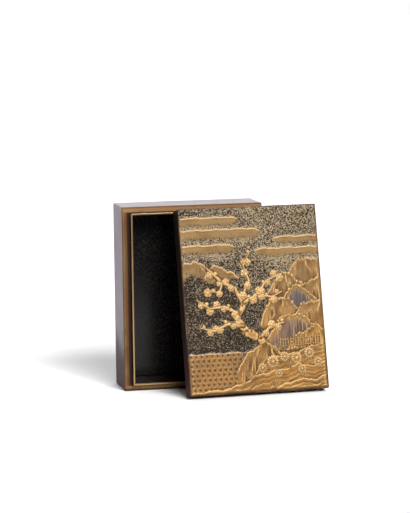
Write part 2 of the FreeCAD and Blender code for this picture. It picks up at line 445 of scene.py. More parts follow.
def aged_silver():
    """Beaten silver sheet with dark tarnish low on its sides."""
    f = Finish("aged silver")
    clouds = f.noise(95.0, 5.0, 0.62)
    beaten = f.node("ShaderNodeTexVoronoi", {"feature": "SMOOTH_F1"},
                    {"Vector": f.place(), "Scale": 520.0, "Smoothness": 0.8})
    front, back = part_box("dropper_bowl")
    low = f.ease(f.along((0, 1, 0)), front.y + 0.001, back.y)
    tarnish = f.ease(clouds + low * 0.3, 0.45, 0.78)
    return f.shade({
        "Base Color": f.mix(tarnish, BRIGHT_SILVER, TARNISH),
        "Metallic": 0.95,
        "Roughness": 0.27 + tarnish * 0.28,
        "Normal": f.bump(beaten, 0.25, 0.0005),
    })


def flake_face():
    """The lid's face: gold flakes in black, raised gold, and dulled silver, by attributes."""
    colours = bpy.context.scene.ink_box_lacquer
    f = Finish("flakes and raised gold")
    painted_light = f.attribute("painted_light")
    rich = f.attribute("flaking")
    coarse = f.cells(1500.0)
    small = f.cells(2700.0)
    drift = f.noise(55.0, 3.0)
    share = coarse * 0.62 + small * 0.38 + drift * 0.22
    flakes = f.ease(share, 1.06 - rich * 0.60, 1.18 - rich * 0.60)
    ground = f.mix(flakes, FLAKE_GROUND, colours.flake)
    ground = f.mix(f.ease(small, 0.45, 1.0) * 0.35, ground, FINE_FLAKE)
    polish = f.noise(48.0, 4.0)
    powder = f.cells(1700.0)
    height = f.along((0, 0, 1)) + f.noise(22.0, 2.0) * 0.09
    warm = f.mix(f.ease(height, *UPPER_FACE), colours.gold, UPPER_GOLD)
    warm = f.mix(f.ease(polish, 0.56, 0.40) * 0.55, warm, CLOUDED_GOLD)
    gold = f.mix(powder * 0.40, warm, POWDER_GOLD)
    # painted shade in the carving's hollows and painted highlights on its crests, on gold and silver alike
    gold = f.mix(f.ease(painted_light, 0.5, 0.0) * 0.84, gold, GROOVE_SHADE)
    gold = f.mix(f.ease(painted_light, 0.5, 1.0) * 0.80, gold, PALE_GOLD_AND_HIGHLIGHT)
    grey = f.mix(f.ease(painted_light, 0.3, 0.9), colours.silver, SILVER_HIGHLIGHT)
    raised = f.mix(f.attribute("silvering"), gold, grey)
    cover = f.ease(f.attribute("gilding") + (share - 0.6) * 0.55, 0.35, 0.62)
    colour = f.mix(cover, ground, raised)
    rubbed = f.ease(drift + powder * 0.2, 0.55, 0.75)
    border = f.mix(rubbed, BLACK_BORDER, COPPER_BORDER)
    gloss = f.larger(flakes, cover)
    return f.shade({
        "Base Color": f.mix(f.attribute("bordering"), colour, border),
        "Metallic": gloss * 0.5,
        "Roughness": 0.13 + gloss * 0.43,
        "Specular IOR Level": 0.15,
        "Normal": f.bump(share * 0.5 + powder * 0.06, 0.35, 0.00010),
    })


def raised_gold(motif):
    """Polished gold lacquer of a raised motif, with painted shade in its grooves and painted highlights on
    its crests.
    """
    colour, deep = MOTIF_GOLD[motif]
    f = Finish(motif + " gold")
    painted_light = f.attribute("painted_light")
    powder = f.cells(2200.0)
    gold = f.mix(f.ease(f.noise(160.0, 3.0), 0.40, 0.68), colour, deep)
    gold = f.mix(powder * 0.2, gold, WARM_POWDER)
    # painted shade in the grooves and painted highlights on the crests
    gold = f.mix(f.ease(painted_light, 0.5, 0.0) * 0.9, gold, DEEP_GROOVE_SHADE)
    gold = f.mix(f.ease(painted_light, 0.5, 0.9) * 0.5, gold, PALE_GOLD_AND_HIGHLIGHT)
    return f.shade({
        "Base Color": gold,
        "Metallic": 0.5,
        "Roughness": 0.52,
        "Specular IOR Level": 0.15,
        "Normal": f.bump(powder, 0.2, 0.00008),
    })


def ease(value, low, high):
    """0 below low, 1 above high, and smooth between them, as numbers."""
    t = np.clip((value - low) / (high - low), 0, 1)
    return t * t * (3 - 2 * t)


def wobble(x, seed, size):
    """A gentle wander, made of four sine waves with fixed phases."""
    waves = ((0.055, 1.0), (0.13, 0.55), (0.31, 0.28), (0.71, 0.14))
    return size * sum(a * np.sin(x * k * 6.2832 + seed * (1.7 + i * 2.3)) for i, (k, a) in enumerate(waves))


def lumps(x, y, seed):
    """Smooth noise from -1 to 1 with lumps of size one."""
    lattice = np.random.RandomState(seed).uniform(-1, 1, (64, 64))
    i, j = np.floor(x).astype(int), np.floor(y).astype(int)
    s, t = ease(x - i, 0, 1), ease(y - j, 0, 1)
    near = lattice[i % 64, j % 64] * (1 - s) + lattice[(i + 1) % 64, j % 64] * s
    far = lattice[i % 64, (j + 1) % 64] * (1 - s) + lattice[(i + 1) % 64, (j + 1) % 64] * s
    return near * (1 - t) + far * t


def crest(hill, u):
    """The height of a hill's top line on the face."""
    middle, top, left, right, drop, _, _, seed = hill
    half = np.where(u < middle, left, right)
    return top - drop * (np.abs(u - middle) / half) ** 1.7 + wobble(u, seed, 1.1)


class Relief:
    """The carved face as arrays on a grid: height, gold, silver, shade and how dense the flakes are."""

    def __init__(self, u, v):
        self.u, self.v = u, v
        self.height = np.zeros_like(u)
        self.gold = np.zeros_like(u)
        self.silver = np.zeros_like(u)
        # shade holds painted light and shade, and some darker colour of the motifs
        self.shade = np.zeros_like(u)
        richer = ease(u * 0.9 + v, 70, 200)
        self.flakes = np.clip(0.39 + 0.40 * richer + 0.06 * lumps(u / 14, v / 14, 3), 0, 1)

    def lay(self, mask, height, gold, silver, shade):
        """Lays a form over what is there, where mask is 1."""
        self.height += (height - self.height) * mask
        self.gold += (gold - self.gold) * mask
        self.silver += (silver - self.silver) * mask
        self.shade += (shade - self.shade) * mask

    def hill(self, hill, silver=0.0):
        """A rounded hill: a raised crest line, folds down its flank, and gold that fades below."""
        middle, top, left, right, _, rise, fade, seed = hill
        line = crest(hill, self.u)
        slope = np.gradient(line, axis=0) / np.maximum(np.gradient(self.u, axis=0), 1e-6)
        below = (line - self.v) / np.sqrt(1 + slope ** 2)
        depth = np.maximum(below, 0)
        spread = (self.u - middle) / (1 + depth * 0.022)
        number = int(seed * 10)
        folds = lumps(spread / 5.2 + 30 + 0.5 * lumps(self.u / 8, self.v / 8, number), depth / 15 + 9, number)
        ridges = 1 - 2.2 * np.abs(folds)
        fine = lumps(spread / 1.9 + 40, depth / 13 + 7, number + 1)
        flank = 0.42 * ridges * ease(below, 0.8, 3.5) + 0.08 * fine * ease(below, 1.5, 6)
        body = 0.40 + 0.60 * np.exp(-depth / 1.7) + flank
        level = top - self.v + 4 * lumps(self.u / 8, self.v / 5, number + 2)
        side = (self.u - middle) / np.where(self.u < middle, left, right)
        keep = (1 - ease(level, fade * 0.45, fade)) * (1 - ease(np.abs(side), 1.25, 1.5))
        # painted shade lower down the flank, and painted highlights on the ridges of the folds
        self.lay(ease(below, -0.25, 0.30) * keep, rise * body, 1.0, silver * ease(below, 2, 6),
                 -0.16 * ease(below, 1.5, 12) + 0.16 * ridges * ease(below, 1, 5))

    def mist(self, bars, rise, seed):
        """Bands of mist: tongues with a raised upper edge, whose gold thins out to flakes below."""
        for left, right, level, radius in bars:
            near = np.clip(self.u, left + radius, right - radius)
            line = level + wobble(near, seed, 0.28)
            round_end = np.sqrt(np.clip(1 - ((self.u - near) / radius) ** 2, 0, 1))
            high = line + radius * 0.55 * round_end - self.v
            low = self.v - line + radius * 1.25 * round_end
            top = (round_end > 0) * ease(high, -0.2, 0.25)
            haze = top * ease(low, -radius * 0.9, radius * 0.9)
            self.flakes += (1.0 - self.flakes) * haze
            rim = np.exp(-((high - 0.6) / 0.5) ** 2)
            strokes = lumps(self.u / 11 + 20, self.v / 0.9 + 20, seed)
            body = rise * (0.55 + 0.45 * rim + 0.07 * strokes)
            # painted highlight along the raised upper rim, and lighter and darker brush strokes
            self.lay(top * ease(low, -0.1, radius * 1.5), body, 0.95, 0.0, 0.16 * rim + 0.12 * strokes)

    def limb(self, points, rise, seed):
        """A trunk or branch: thinner towards its tip, with knots and a furrowed bark."""
        far = np.full_like(self.u, 99.0)
        wide = np.full_like(self.u, 1.0)
        for (u0, v0, r0), (u1, v1, r1) in zip(points, points[1:]):
            du, dv = u1 - u0, v1 - v0
            t = np.clip(((self.u - u0) * du + (self.v - v0) * dv) / (du * du + dv * dv), 0, 1)
            distance = np.hypot(self.u - u0 - t * du, self.v - v0 - t * dv)
            radius = r0 + (r1 - r0) * t
            nearer = distance / radius < far / wide
            far = np.where(nearer, distance, far)
            wide = np.where(nearer, radius, wide)
        bark = lumps(self.u / 1.5 + 20, self.v / 2.6 + 20, seed)
        knots = lumps(self.u / 4.2 + 20, self.v / 4.2 + 20, seed + 20)
        share = far / wide * (1 - 0.25 * knots) + 0.10 * bark
        body = np.sqrt(np.clip(1.02 - share ** 2, 0.04, 1)) * (1 - 0.22 * ease(bark, 0.1, 0.6))
        self.lay(ease(1 - share, -0.10, 0.20), rise * body, 1.0, 0.0, -0.34 - 0.3 * ease(bark, 0.0, 0.7))

    def bank(self, knots, rise, seed, grain):
        """Ground whose top line runs through knots, with a lit edge and long soft terraces."""
        line = np.interp(self.u, [k[0] for k in knots], [k[1] for k in knots]) + wobble(self.u, seed, 0.6)
        below = line - self.v
        number = int(seed * 10)
        drift = below + 1.8 * lumps(self.u / 16, self.v / 9, number)
        terraces = 1 - 2 * np.abs((drift / 3.4) % 1 - 0.5)
        strokes = lumps(self.u / 5.0 + 10, drift / 0.9 + 60, number + 1)
        body = (0.55 + 0.45 * np.exp(-np.maximum(below, 0) / 2.0) + 0.20 * terraces ** 3 * ease(below, 1, 4)
                + grain * strokes * ease(below, 0.5, 2))
        patches = ease(lumps(self.u / 13, self.v / 6, number + 3), 0.0, 0.6) * ease(below, 1.0, 3.5)
        self.lay(ease(below, -0.25, 0.3), rise * body, 1.0, 0.0, 0.12 * strokes - 0.03 - 0.40 * patches)

    def stream(self, within, first, row, pitch):
        """Water with rows of pointed dark hollows, which point the other way in every other row."""
        place = (self.v - first) / row
        number = np.floor(place)
        odd = number % 2
        y = np.abs(place - number - 0.5)
        x = (self.u / pitch + 0.5 * odd) % 1 - 0.5
        tip = np.where(odd > 0, -1.0, 1.0) * (0.16 - 0.75 * y)
        hollow = ease(0.23 * (1 - y / 0.40) - np.abs(x - tip), -0.05, 0.06) * ease(0.40 - y, 0, 0.06)
        line = np.exp(-((y - 0.5) / 0.10) ** 2)
        self.lay(within, 0.26 - 0.20 * hollow + 0.05 * line, 0.95 - 0.50 * hollow, 0.10,
                 -1.1 * hollow + 0.10 * line - 0.20)


# How often the carving is smeared for its fine and its broad light and shade
FINE_REACH = 10
BROAD_REACH = 60


def smeared(field, times):
    """The field averaged with its neighbours, many times."""
    for _ in range(times):
        padded = np.pad(field, 1, mode="edge")
        field = (padded[:-2, 1:-1] + padded[2:, 1:-1] + padded[1:-1, :-2] + padded[1:-1, 2:]) / 4
    return field


# Bars of mist: left and right end, level and radius
MIST_ABOVE = ((-14, 50, 139, 6.4), (-14, 68, 128.5, 7.4), (-14, 46, 116.5, 6.6))
MIST_BETWEEN = ((78, 132, 122, 5.2), (62, 132, 112.5, 6.0))

# Trunk and branches: places on the face and radius there
TRUNK = ((68, 30, 5.0), (62, 42, 4.1), (50, 49, 3.6), (43, 60, 3.0), (50, 72, 2.6), (43, 84, 2.1),
         (31, 91, 1.6), (21, 101, 1.0))
LIMBS = (
    ((47, 54, 2.2), (35, 56, 1.6), (23, 51, 1.1), (12, 54, 0.7)),
    ((44, 64, 1.8), (33, 70, 1.4), (21, 69, 1.0), (11, 76, 0.7)),
    ((50, 73, 2.0), (62, 79, 1.5), (69, 89, 1.1), (81, 94, 0.7)),
    ((48, 77, 1.6), (55, 90, 1.2), (51, 102, 0.9), (57, 113, 0.6)),
    ((33, 90, 1.3), (30, 81, 0.9), (20, 84, 0.7)),
    ((61, 79, 1.3), (73, 76, 1.0), (82, 80, 0.7)),
    ((61, 44, 1.9), (71, 53, 1.3), (82, 55, 0.8)),
)

# Hills: middle, top, half-widths to the left and right, drop, rise, depth of the gold, seed
FAR_HILLS = ((8, 108, 15, 16, 10, 0.42, 17, 1.3), (29, 103, 13, 18, 11, 0.44, 16, 2.9))
HILLS = (
    (103, 107, 15, 24, 13, 0.46, 30, 4.1), (84, 95, 12, 19, 13, 0.48, 30, 5.3),
    (117, 92, 21, 14, 12, 0.52, 40, 6.7), (96, 84, 19, 15, 13, 0.56, 30, 7.9),
    (77, 76, 11, 20, 12, 0.56, 34, 9.1), (110, 72, 22, 14, 13, 0.60, 40, 10.3),
    (89, 62, 18, 22, 13, 0.64, 50, 14.3), (108, 51, 21, 18, 12, 0.68, 50, 15.7),
)
MOUND = (63, 39, 17, 21, 12, 0.74, 60, 16.9)

# How far a hill, by its place in the list, is dulled silver
SILVERED = {3: 0.95, 6: 0.6}

# Banks: places on the top line, rise, seed and grain
BANKS = (
    (((0, -9), (40, -6), (50, 8), (60, 23), (70, 29), (84, 29), (104, 35), (116, 38)), 0.66, 6.1, 0.05),
    (((0, 2), (34, 5), (46, 9), (60, 15), (76, 17), (92, 21), (106, 19), (116, 23)), 0.72, 8.3, 0.07),
    (((0, -8), (62, -6), (74, 4), (90, 9), (104, 8), (116, 12)), 0.80, 10.9, 0.08),
)

# The stream: its first row, the height of its rows together, its shore, how far its rows of
# waves may reach, where they end at the bank, and how the bank leans
STREAM_FOOT = 6.2
STREAM_HEIGHT = 26.6
SHORE = 33
STREAM_REACH = 62
BANK_END = 46
BANK_LEAN = 0.35

# Chrysanthemums and tufts of grass: place and size
BLOOMS = ((70, 24, 1.0), (80, 27.5, 0.82), (61, 19.5, 0.8), (90, 26, 1.0), (101, 29.5, 0.85),
          (74, 14.5, 0.7), (108, 22.0, 0.8), (94, 17, 0.7))
TUFTS = ((50, 11, 0.8), (66, 17.5, 0.9), (84, 18.5, 0.85), (101, 20, 0.8), (110, 31, 0.8),
         (70, 4.5, 0.8), (96, 9.5, 0.9), (60, 26, 0.9), (74, 32, 0.9))

# The fence: where it stands, its first stick and the step from stick to stick, and its rails
FENCE_LEFT = 78
FENCE_LEVEL = 38
FIRST_STICK = (77.5, 38.4)
STICK_STEP = (2.1, 0.09)
STICKS = 17
RAIL_LEVELS = (35.8, 41.0)
RAIL_START = 80.5
RAIL_STEP = 6.7
RAIL_PARTS = 5
RAIL_SLOPE = 0.043


def paint(relief, row, pitch):
    """The lid's picture: mist, round hills, an old plum tree, banks and a stream."""
    relief.mist(MIST_ABOVE, 0.34, 2)
    for hill in FAR_HILLS:
        relief.hill(hill)
    relief.mist(MIST_BETWEEN, 0.34, 5)
    for n, hill in enumerate(HILLS):
        relief.hill(hill, SILVERED.get(n, 0.0))
    shore = SHORE + wobble(relief.u, 4.4, 0.4)
    relief.stream(ease(shore - relief.v, -0.2, 0.3), STREAM_FOOT, row, pitch)
    relief.limb(TRUNK, 1.0, 2)
    for n, points in enumerate(LIMBS):
        relief.limb(points, 0.82, 3 + n)
    relief.hill(MOUND)
    for bank in BANKS:
        relief.bank(*bank)


def grid_lines(length, step, edge):
    """Grid lines that are close together over the rounded edges."""
    ends = [0.0, 0.08 * edge, 0.28 * edge, 0.55 * edge, 0.8 * edge]
    count = max(2, round((length - 2 * edge) / step))
    middle = [edge + (length - 2 * edge) * n / count for n in range(count + 1)]
    return np.array(ends + middle + [length - e for e in reversed(ends)])


def rounded(lines_u, lines_v, radius):
    """The grid's points, with its four corners drawn in to a radius."""
    u, v = np.meshgrid(lines_u, lines_v, indexing="ij")
    cu = np.clip(u, radius, FACE_WIDTH - radius)
    cv = np.clip(v, radius, FACE_HEIGHT - radius)
    du, dv = u - cu, v - cv
    far = np.maximum(np.abs(du), np.abs(dv))
    length = np.maximum(np.hypot(du, dv), 1e-9)
    return cu + du * far / length, cv + dv * far / length


def face_height(lines_u, lines_v, height):
    """A function that gives the carved face's height at any (u, v)."""

    def at(u, v):
        i = int(np.clip(np.searchsorted(lines_u, u) - 1, 0, len(lines_u) - 2))
        j = int(np.clip(np.searchsorted(lines_v, v) - 1, 0, len(lines_v) - 2))
        return float(height[i:i + 2, j:j + 2].mean())

    return at


# What one operator leaves for the next ones: the carved face's height
STATE = {}


def new_object(name, data, materials=()):
    """Links a new object to the scene, unturned at the origin."""
    piece = bpy.data.objects.new(name, data)
    bpy.context.scene.collection.objects.link(piece)
    for material in materials:
        data.materials.append(material)
    return piece


def dress(names, material):
    """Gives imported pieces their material."""
    for name in names:
        frame["nodes"][name].data.materials[0] = material


def carved_board():
    """The lid's board with its carved face, rounded edges, plain sides and lacquered inside."""
    s = bpy.context.scene.ink_box_relief
    lines_u = grid_lines(FACE_WIDTH, s.step, s.edge)
    lines_v = grid_lines(FACE_HEIGHT, s.step, s.edge)
    u, v = rounded(lines_u, lines_v, s.corner)
    relief = Relief(u, v)
    motifs = bpy.context.scene.ink_box_motifs
    paint(relief, motifs.wave_row, motifs.wave_pitch)
    flat_u, flat_v = np.meshgrid(lines_u, lines_v, indexing="ij")
    inset = np.minimum.reduce([flat_u, FACE_WIDTH - flat_u, flat_v, FACE_HEIGHT - flat_v])
    calm = ease(inset, 0.5, 3.2)
    carved = relief.height * s.strength * calm
    # painted light and shade: lighter where the carving stands above its smeared self, darker where it lies
    # below, plus the relief's own shade values
    fine = carved - smeared(carved, FINE_REACH)
    broad = carved - smeared(carved, BROAD_REACH)
    painted_light = np.clip(0.47 + fine * 3.0 + broad * 0.7 + relief.shade * 0.5, 0, 1)
    inside = np.maximum(s.edge - inset, 0)
    carved = carved - (s.edge - np.sqrt(s.edge ** 2 - inside ** 2))
    STATE["height"] = face_height(lines_u, lines_v, carved)

    rows, columns = u.shape
    count = rows * columns
    index = np.arange(count).reshape(rows, columns)
    quads = np.stack([index[:-1, :-1], index[1:, :-1], index[1:, 1:], index[:-1, 1:]], -1).reshape(-1, 4)
    ring = np.concatenate([index[:, 0], index[-1, 1:], index[-2::-1, -1], index[0, -2:0:-1]])
    front = np.stack([u, v, carved], -1).reshape(-1, 3)
    back = front[ring].copy()
    back[:, 2] = -BOARD_DEPTH
    centre = np.array([[FACE_WIDTH / 2, FACE_HEIGHT / 2, -BOARD_DEPTH]])
    points = np.concatenate([front, back, centre])
    around = len(ring)
    low = count + np.arange(around)
    following = np.roll(np.arange(around), -1)
    walls = np.stack([ring, low, low[following], ring[following]], -1)
    fan = np.stack([low, np.full(around, count + around), low[following]], -1)
    faces = quads.tolist() + walls.tolist() + fan.tolist()

    mesh = bpy.data.meshes.new("carved_lid_board")
    mesh.from_pydata(points.tolist(), [], faces)
    edge = 1 - ease(inset, 0.5, 1.1)
    for name, values, rest in (("gilding", relief.gold, 0), ("silvering", relief.silver, 0),
                               ("painted_light", painted_light, 0.5), ("flaking", relief.flakes, 0.3),
                               ("bordering", edge, 1)):
        layer = mesh.attributes.new(name, "FLOAT", "POINT")
        data = np.full(len(points), rest, np.float32)
        data[:count] = np.clip(values, 0, 1).reshape(-1)
        layer.data.foreach_set("value", data)
    slots = np.zeros(len(faces), np.int32)
    slots[len(quads):] = 1
    slots[len(quads) + around:] = 2
    mesh.polygons.foreach_set("material_index", slots)
    mesh.polygons.foreach_set("use_smooth", slots == 0)
    mesh.transform(LID)
    mesh.validate()
    return mesh


def motif_mesh(name, points, faces, painted_lights):
    """A mesh with the painted light and shade of every point, from dark 0 to light 1."""
    mesh = bpy.data.meshes.new(name)
    mesh.from_pydata(points, [], faces)
    mesh.attributes.new("painted_light", "FLOAT", "POINT").data.foreach_set("value", painted_lights)
    return mesh


def rosette(name, petals, radius, rise, groove, rings, steps, button=0.0):
    """A flower seen from above: domed petals, grooves between them, and a button in the middle."""
    around = petals * steps
    points = [(0, 0, rise * (0.55 + button))]
    painted_lights = [0.75]
    for ring in range(1, rings + 1):
        t = ring / rings
        for n in range(around):
            turn = n / around * 2 * math.pi
            petal = abs(math.cos(petals * turn / 2))
            reach = radius * t * (1 - 0.22 * t * (1 - petal) ** 1.6)
            dome = rise * (1 - t ** 3) * (1 - groove * (1 - petal) * min(1, t * 2))
            sunk = rise * 0.28 * math.exp(-((t - 0.42) / 0.16) ** 2) if button else 0
            points.append((reach * math.cos(turn), reach * math.sin(turn), dome - sunk))
            # painted shade in the grooves between petals and in the sunken ring round the button
            painted_lights.append(0.62 - 0.5 * groove * (1 - petal) ** 0.7 - 1.1 * sunk / rise)
    for n in range(around):
        x, y, _ = points[1 + (rings - 1) * around + n]
        points.append((x, y, -0.35))
        # painted shade on the skirt below the petals
        painted_lights.append(0.1)
    faces = [(0, 1 + n, 1 + (n + 1) % around) for n in range(around)]
    for ring in range(rings):
        for n in range(around):
            a = 1 + ring * around
            b = a + around
            m = (n + 1) % around
            faces.append((a + n, b + n, b + m, a + m))
    last = 1 + rings * around
    faces.append([last + n for n in reversed(range(around))])
    return motif_mesh(name, points, faces, painted_lights)


def ridge(name, path, width, rise):
    """A raised stroke along a path, with a rounded back and pointed ends."""
    points = []
    for n, (x, y) in enumerate(path):
        x0, y0 = path[max(0, n - 1)]
        x1, y1 = path[min(len(path) - 1, n + 1)]
        length = math.hypot(x1 - x0, y1 - y0)
        side = (-(y1 - y0) / length, (x1 - x0) / length)
        swell = math.sin(math.pi * (n + 0.6) / (len(path) + 0.2)) ** 0.6
        for across, up in ((-0.5, -0.3), (-0.32, 0.7), (0.0, 1.0), (0.32, 0.7), (0.5, -0.3)):
            wide = width * swell * across
            points.append((x + side[0] * wide, y + side[1] * wide, rise * up))
    faces = []
    for n in range(len(path) - 1):
        for k in range(5):
            m = (k + 1) % 5
            faces.append((n * 5 + k, (n + 1) * 5 + k, (n + 1) * 5 + m, n * 5 + m))
    faces.append((0, 1, 2, 3, 4))
    end = (len(path) - 1) * 5
    faces.append((end + 4, end + 3, end + 2, end + 1, end))
    # painted light and shade: the stroke's back lighter, its sides darker
    return motif_mesh(name, points, faces, [0.1, 0.5, 0.75, 0.5, 0.1] * len(path))


MOTIF_INPUTS = (("Geometry", "Geometry"), ("Motif", "Object"), ("Finish", "Material"),
                ("Loose Turn", "Float"), ("Loose Size", "Float"), ("Seed", "Int"))


def motif_tree():
    """Puts a motif on every point, with the point's own turn and size and a little chance."""
    tree = bpy.data.node_groups.new("motifs on points", "GeometryNodeTree")
    for name, kind in MOTIF_INPUTS:
        tree.interface.new_socket(name, in_out="INPUT", socket_type="NodeSocket" + kind)
    tree.interface.new_socket("Geometry", in_out="OUTPUT", socket_type="NodeSocketGeometry")
    g = Nodes(tree)

    def given(name):
        return g.node("NodeGroupInput", out=name)

    def of_point(name):
        return g.node("GeometryNodeInputNamedAttribute", {"data_type": "FLOAT"}, {"Name": name})

    def chance(low, high):
        sockets = {2: low, 3: high, "Seed": given("Seed")}
        return g.node("FunctionNodeRandomValue", {"data_type": "FLOAT"}, sockets, out=1)

    loose = given("Loose Turn")
    spin = g.node("ShaderNodeCombineXYZ", None, {2: of_point("turn") + chance(loose * -1.0, loose)})
    loose = given("Loose Size")
    size = of_point("size") * chance(1.0 - loose, 1.0 + loose)
    copies = g.node("GeometryNodeInstanceOnPoints", None, {
        "Points": given("Geometry"),
        "Instance": g.node("GeometryNodeObjectInfo", None, {"Object": given("Motif")}, out="Geometry"),
        "Rotation": spin,
        "Scale": g.node("ShaderNodeCombineXYZ", None, {0: size, 1: size, 2: 1.0}),
    })
    real = g.node("GeometryNodeRealizeInstances", None, {0: copies})
    dressed = g.node("GeometryNodeSetMaterial", None, {"Geometry": real, "Material": given("Finish")})
    g.node("NodeGroupOutput", None, {0: dressed})
    return tree


def scatter(name, motif, places, material, loose_turn=0.0, loose_size=0.0):
    """One piece made of a motif repeated at places (u, v, height, turn, size) on the lid's face."""
    mesh = bpy.data.meshes.new(name + "_places")
    mesh.from_pydata([p[:3] for p in places], [], [])
    for attribute, index in (("turn", 3), ("size", 4)):
        layer = mesh.attributes.new(attribute, "FLOAT", "POINT")
        layer.data.foreach_set("value", [p[index] for p in places])
    holder = new_object(name + "_places", mesh)
    pattern = new_object(name + "_motif", motif)
    tree = bpy.data.node_groups.get("motifs on points") or motif_tree()
    modifier = holder.modifiers.new("motifs", "NODES")
    modifier.node_group = tree
    for socket, value in (("Motif", pattern), ("Finish", material), ("Loose Turn", loose_turn),
                          ("Loose Size", loose_size), ("Seed", bpy.context.scene.ink_box_motifs.seed)):
        modifier[tree.interface.items_tree[socket].identifier] = value
    depsgraph = bpy.context.evaluated_depsgraph_get()
    depsgraph.update()
    solid = bpy.data.meshes.new_from_object(holder.evaluated_get(depsgraph))
    holder.modifiers.remove(modifier)
    bpy.data.objects.remove(holder)
    bpy.data.objects.remove(pattern)
    if not solid.polygons:
        raise RuntimeError(f"{name} came out empty")
    solid.transform(LID)
    solid.name = name
    solid.polygons.foreach_set("use_smooth", np.ones(len(solid.polygons), bool))
    piece = new_object(name, solid)
    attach(piece, "lid")


def along(points, spacing, start):
    """Places at a spacing along a line of points."""
    found = []
    left = start
    for (u0, v0), (u1, v1) in zip(points, points[1:]):
        length = math.hypot(u1 - u0, v1 - v0)
        while left < length:
            t = left / length
            found.append((u0 + (u1 - u0) * t, v0 + (v1 - v0) * t))
            left += spacing
        left -= length
    return found


class INKBOX_OT_lacquer(bpy.types.Operator):
    """Gives the walls, the liner, the lip and the loose board their lacquer and gilding"""

    bl_idname = "ink_box.lacquer"
    bl_label = "Lacquer the box"

    def execute(self, context):
        colours = context.scene.ink_box_lacquer
        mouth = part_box("long_wall_left")[0].y
        body = outer_lacquer("body lacquer", colours.outer, 0.40, (0, -1, 0), -mouth, True)
        out = LID.to_3x3().col[2].normalized()
        rim = min(v.co.dot(out) for v in frame["nodes"]["lid_wall_left"].data.vertices)
        lid = outer_lacquer("lid lacquer", colours.lid, 0.05, -out, -rim)
        liner = inner_lacquer("liner lacquer", BROWN_LINER, 0.02, 0.20)
        board = inner_lacquer("board lacquer", colours.inner, 0.15, 0.19)
        for names, material in ((BODY_NODES, body), (LID_WALLS, lid), (LINER_NODES, liner),
                                (("loose_board",), board), (("mouth_lip",), gilt_metal())):
            dress(names, material)
        return {"FINISHED"}


class INKBOX_OT_fittings(bpy.types.Operator):
    """Gives the inkstone its slate and the water dropper its aged silver"""

    bl_idname = "ink_box.fittings"
    bl_label = "Finish the fittings"

    def execute(self, context):
        dress(("inkstone",), slate())
        dress(("dropper_bowl", "dropper_cover"), aged_silver())
        return {"FINISHED"}


class INKBOX_OT_lid_face(bpy.types.Operator):
    """Makes the lid's board with its carved picture in place of the plain board"""

    bl_idname = "ink_box.lid_face"
    bl_label = "Carve the lid's face"

    def execute(self, context):
        sides = frame["nodes"]["lid_wall_left"].data.materials[0]
        inside = inner_lacquer("lid inside lacquer", context.scene.ink_box_lacquer.inner, 0.10, 0.12)
        piece = new_object("carved_lid_board", carved_board(), (flake_face(), sides, inside))
        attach(piece, "lid")
        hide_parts("lid_board")
        return {"FINISHED"}


class INKBOX_OT_blossoms(bpy.types.Operator):
    """Sets plum blossoms and buds along the branches"""

    bl_idname = "ink_box.blossoms"
    bl_label = "Set the blossoms"

    def execute(self, context):
        s = context.scene.ink_box_motifs
        at = STATE["height"]
        rng = random.Random(s.seed)
        flowers = []
        buds = []
        for n, points in enumerate((TRUNK[5:],) + LIMBS):
            for k, (u, v) in enumerate(along([p[:2] for p in points], 5.0, 3.5)):
                side = 1 if (k + n) % 2 else -1
                u += rng.uniform(-1.2, 1.2)
                v += side * rng.uniform(1.0, 2.8)
                if (k + n) % 4 == 3:
                    buds.append((u, v, at(u, v) - 0.05, 0.0, 0.62))
                else:
                    flowers.append((u, v, at(u, v) - 0.05, rng.uniform(0, 6.28), rng.uniform(0.8, 1.12)))
        pale = raised_gold("blossom")
        flower = rosette("blossom", 5, s.blossom, 0.62, 0.55, rings=4, steps=5, button=0.35)
        scatter("plum_blossoms", flower, flowers, pale, 0.4, 0.08)
        bud = rosette("bud", 3, s.blossom * 0.85, 0.5, 0.15, rings=3, steps=4)
        scatter("plum_buds", bud, buds, pale, 0.4, 0.1)
        return {"FINISHED"}


class INKBOX_OT_chrysanthemums(bpy.types.Operator):
    """Sets chrysanthemums by the brushwood fence"""

    bl_idname = "ink_box.chrysanthemums"
    bl_label = "Set the chrysanthemums"

    def execute(self, context):
        s = context.scene.ink_box_motifs
        at = STATE["height"]
        spots = [(u, v, at(u, v), 0.0, size) for u, v, size in BLOOMS]
        gold = raised_gold("chrysanthemum")
        bloom = rosette("chrysanthemum", 12, s.bloom, 1.0, 0.8, rings=5, steps=4, button=0.3)
        scatter("chrysanthemums", bloom, spots, gold, 0.3, 0.05)
        return {"FINISHED"}


